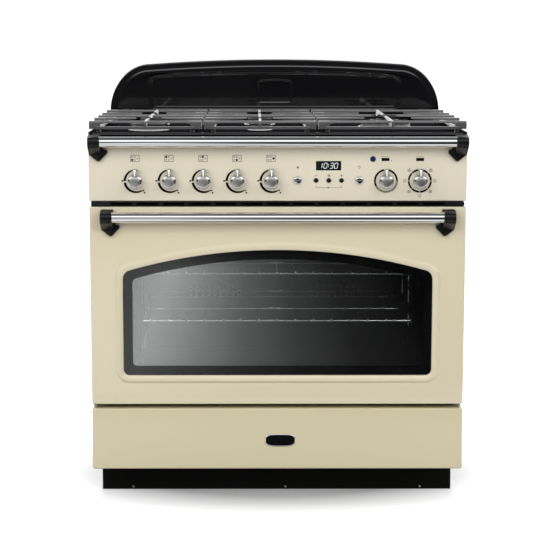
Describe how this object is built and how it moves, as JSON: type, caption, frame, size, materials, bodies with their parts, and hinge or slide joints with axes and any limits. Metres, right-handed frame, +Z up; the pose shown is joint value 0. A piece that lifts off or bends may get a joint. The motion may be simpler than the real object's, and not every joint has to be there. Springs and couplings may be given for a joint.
{
  "type": "range cooker",
  "caption": "Free-standing dual fuel range cooker: gas hob with cast pan supports, drop-down oven with arched window, drawer, splashback.",
  "frame": {"origin": "on the floor under the middle of the overall box", "axes": "+X to the right seen from the front, +Y to the rear, +Z up"},
  "size_m": [0.9, 0.6576, 1.0625],
  "materials": {
    "cream_enamel": "gloss cream vitreous enamel on pressed steel",
    "black_enamel": "high-gloss black vitreous enamel",
    "black_casting": "semi-gloss black painted casting",
    "pan_support_iron": "matt grey-black enamelled cast iron",
    "bright_chrome": "polished chrome plate",
    "satin_steel": "plain zinc-coated sheet steel",
    "oven_enamel": "speckled grey oven enamel",
    "burner_alloy": "matt cast aluminium",
    "tap_brass": "machined brass and plated steel pipe",
    "outer_glass": "clear toughened glass with a black printed border",
    "inner_glass": "clear heat-reflecting glass",
    "clock_glass": "black window and matt housing",
    "neon_blue": "dark blue lens",
    "lamp_glass": "ribbed lamp glass",
    "seal_rubber": "braided silicone gasket",
    "black_plastic": "gloss black moulding",
    "roller_plastic": "hard black nylon",
    "fan_steel": "pressed aluminised steel",
    "element_sheath": "oxidised heating element sheath"
  },
  "bodies": {
    "chassis": {"chassis_frame": "satin_steel", "base_tray": "satin_steel", "side_panel_left": "black_enamel", "side_panel_right": "black_enamel", "rear_cover": "satin_steel", "plinth": "black_enamel", "levelling_feet": "satin_steel", "hotplate": "black_enamel", "splashback": "black_enamel", "vent_trim": "black_plastic", "control_panel": "cream_enamel", "clock_module": "clock_glass", "neon_lens": "neon_blue", "oven_controls": "satin_steel", "gas_manifold": "tap_brass", "burner_cups": "burner_alloy", "burner_crowns": "burner_alloy", "burner_caps": "black_enamel", "towel_rail": "bright_chrome", "towel_rail_brackets": "black_casting", "oven_liner": "oven_enamel", "oven_seal": "seal_rubber", "fan_baffles": "oven_enamel", "fan_motors": "satin_steel", "oven_elements": "element_sheath", "oven_lamp": "lamp_glass", "shelf_runners": "bright_chrome"},
    "door": {"door_panel": "cream_enamel", "door_outer_glass": "outer_glass", "door_inner_frame": "oven_enamel", "door_inner_glass": "inner_glass", "door_handle": "bright_chrome", "door_handle_brackets": "black_casting"},
    "drawer": {"drawer_front": "cream_enamel", "drawer_tray": "satin_steel"},
    "tap_1": {"valve_spindle_1": "tap_brass"},
    "knob_1": {"hob_knob_1": "bright_chrome"},
    "tap_2": {"valve_spindle_2": "tap_brass"},
    "knob_2": {"hob_knob_2": "bright_chrome"},
    "tap_3": {"valve_spindle_3": "tap_brass"},
    "knob_3": {"hob_knob_3": "bright_chrome"},
    "tap_4": {"valve_spindle_4": "tap_brass"},
    "knob_4": {"hob_knob_4": "bright_chrome"},
    "tap_5": {"valve_spindle_5": "tap_brass"},
    "knob_5": {"hob_knob_5": "bright_chrome"},
    "temperature_knob": {"oven_temperature_knob": "bright_chrome"},
    "function_knob": {"oven_function_knob": "bright_chrome"},
    "ignition_push": {"ignition_button": "bright_chrome"},
    "light_push": {"light_button": "bright_chrome"},
    "timer_minus": {"timer_button_minus": "black_plastic"},
    "timer_mode": {"timer_button_mode": "black_plastic"},
    "timer_plus": {"timer_button_plus": "black_plastic"},
    "support_left": {"pan_support_left": "pan_support_iron"},
    "support_centre": {"pan_support_centre": "pan_support_iron"},
    "support_right": {"pan_support_right": "pan_support_iron"},
    "left_fan": {"fan_left": "fan_steel"},
    "right_fan": {"fan_right": "fan_steel"},
    "shelf_lower": {"oven_shelf_lower": "bright_chrome"},
    "shelf_upper": {"oven_shelf_upper": "bright_chrome"},
    "rollers": {"rear_rollers": "roller_plastic"}
  },
  "joints": [
    {"name": "door_hinge", "type": "hinge", "parent": "chassis", "child": "door", "pos_m": [0, -0.26925, 0.252], "axis": [1, 0, 0], "range_deg": [0, 90]},
    {"name": "drawer_slide", "type": "slide", "parent": "chassis", "child": "drawer", "axis": [0, -1, 0], "range_m": [0, 0.35]},
    {"name": "tap_1_push", "type": "slide", "parent": "chassis", "child": "tap_1", "axis": [0, 1, 0], "range_m": [0, 0.0035], "stiffness_N_per_m": 1500},
    {"name": "knob_1_turn", "type": "hinge", "parent": "tap_1", "child": "knob_1", "pos_m": [-0.338, -0.29925, 0.79], "axis": [0, -1, 0], "range_deg": [0, 215]},
    {"name": "tap_2_push", "type": "slide", "parent": "chassis", "child": "tap_2", "axis": [0, 1, 0], "range_m": [0, 0.0035], "stiffness_N_per_m": 1500},
    {"name": "knob_2_turn", "type": "hinge", "parent": "tap_2", "child": "knob_2", "pos_m": [-0.2573, -0.29925, 0.79], "axis": [0, -1, 0], "range_deg": [0, 215]},
    {"name": "tap_3_push", "type": "slide", "parent": "chassis", "child": "tap_3", "axis": [0, 1, 0], "range_m": [0, 0.0035], "stiffness_N_per_m": 1500},
    {"name": "knob_3_turn", "type": "hinge", "parent": "tap_3", "child": "knob_3", "pos_m": [-0.1766, -0.29925, 0.79], "axis": [0, -1, 0], "range_deg": [0, 215]},
    {"name": "tap_4_push", "type": "slide", "parent": "chassis", "child": "tap_4", "axis": [0, 1, 0], "range_m": [0, 0.0035], "stiffness_N_per_m": 1500},
    {"name": "knob_4_turn", "type": "hinge", "parent": "tap_4", "child": "knob_4", "pos_m": [-0.0959, -0.29925, 0.79], "axis": [0, -1, 0], "range_deg": [0, 215]},
    {"name": "tap_5_push", "type": "slide", "parent": "chassis", "child": "tap_5", "axis": [0, 1, 0], "range_m": [0, 0.0035], "stiffness_N_per_m": 1500},
    {"name": "knob_5_turn", "type": "hinge", "parent": "tap_5", "child": "knob_5", "pos_m": [-0.0152, -0.29925, 0.79], "axis": [0, -1, 0], "range_deg": [0, 215]},
    {"name": "oven_temperature_turn", "type": "hinge", "parent": "chassis", "child": "temperature_knob", "pos_m": [0.257, -0.29925, 0.79], "axis": [0, 1, 0], "range_deg": [0, 290]},
    {"name": "oven_function_turn", "type": "hinge", "parent": "chassis", "child": "function_knob", "pos_m": [0.3375, -0.29925, 0.79], "axis": [0, 1, 0], "continuous": true},
    {"name": "ignition_button_push", "type": "slide", "parent": "chassis", "child": "ignition_push", "axis": [0, 1, 0], "range_m": [0, 0.003], "stiffness_N_per_m": 500},
    {"name": "light_button_push", "type": "slide", "parent": "chassis", "child": "light_push", "axis": [0, 1, 0], "range_m": [0, 0.003], "stiffness_N_per_m": 500},
    {"name": "timer_minus_push", "type": "slide", "parent": "chassis", "child": "timer_minus", "axis": [0, 1, 0], "range_m": [0, 0.0015], "stiffness_N_per_m": 400},
    {"name": "timer_mode_push", "type": "slide", "parent": "chassis", "child": "timer_mode", "axis": [0, 1, 0], "range_m": [0, 0.0015], "stiffness_N_per_m": 400},
    {"name": "timer_plus_push", "type": "slide", "parent": "chassis", "child": "timer_plus", "axis": [0, 1, 0], "range_m": [0, 0.0015], "stiffness_N_per_m": 400},
    {"name": "pan_support_left_lift", "type": "slide", "parent": "chassis", "child": "support_left", "axis": [0, 0, 1], "range_m": [0, 0.08]},
    {"name": "pan_support_centre_lift", "type": "slide", "parent": "chassis", "child": "support_centre", "axis": [0, 0, 1], "range_m": [0, 0.08]},
    {"name": "pan_support_right_lift", "type": "slide", "parent": "chassis", "child": "support_right", "axis": [0, 0, 1], "range_m": [0, 0.08]},
    {"name": "fan_left_spin", "type": "hinge", "parent": "chassis", "child": "left_fan", "pos_m": [-0.161, 0.17775, 0.45], "axis": [0, 1, 0], "continuous": true},
    {"name": "fan_right_spin", "type": "hinge", "parent": "chassis", "child": "right_fan", "pos_m": [0.161, 0.17775, 0.45], "axis": [0, 1, 0], "continuous": true},
    {"name": "shelf_lower_slide", "type": "slide", "parent": "chassis", "child": "shelf_lower", "axis": [0, -1, 0], "range_m": [0, 0.025]},
    {"name": "shelf_upper_slide", "type": "slide", "parent": "chassis", "child": "shelf_upper", "axis": [0, -1, 0], "range_m": [0, 0.025]},
    {"name": "rear_roller_spin", "type": "hinge", "parent": "chassis", "child": "rollers", "pos_m": [0, 0.24875, 0.025], "axis": [1, 0, 0], "continuous": true}
  ]
}
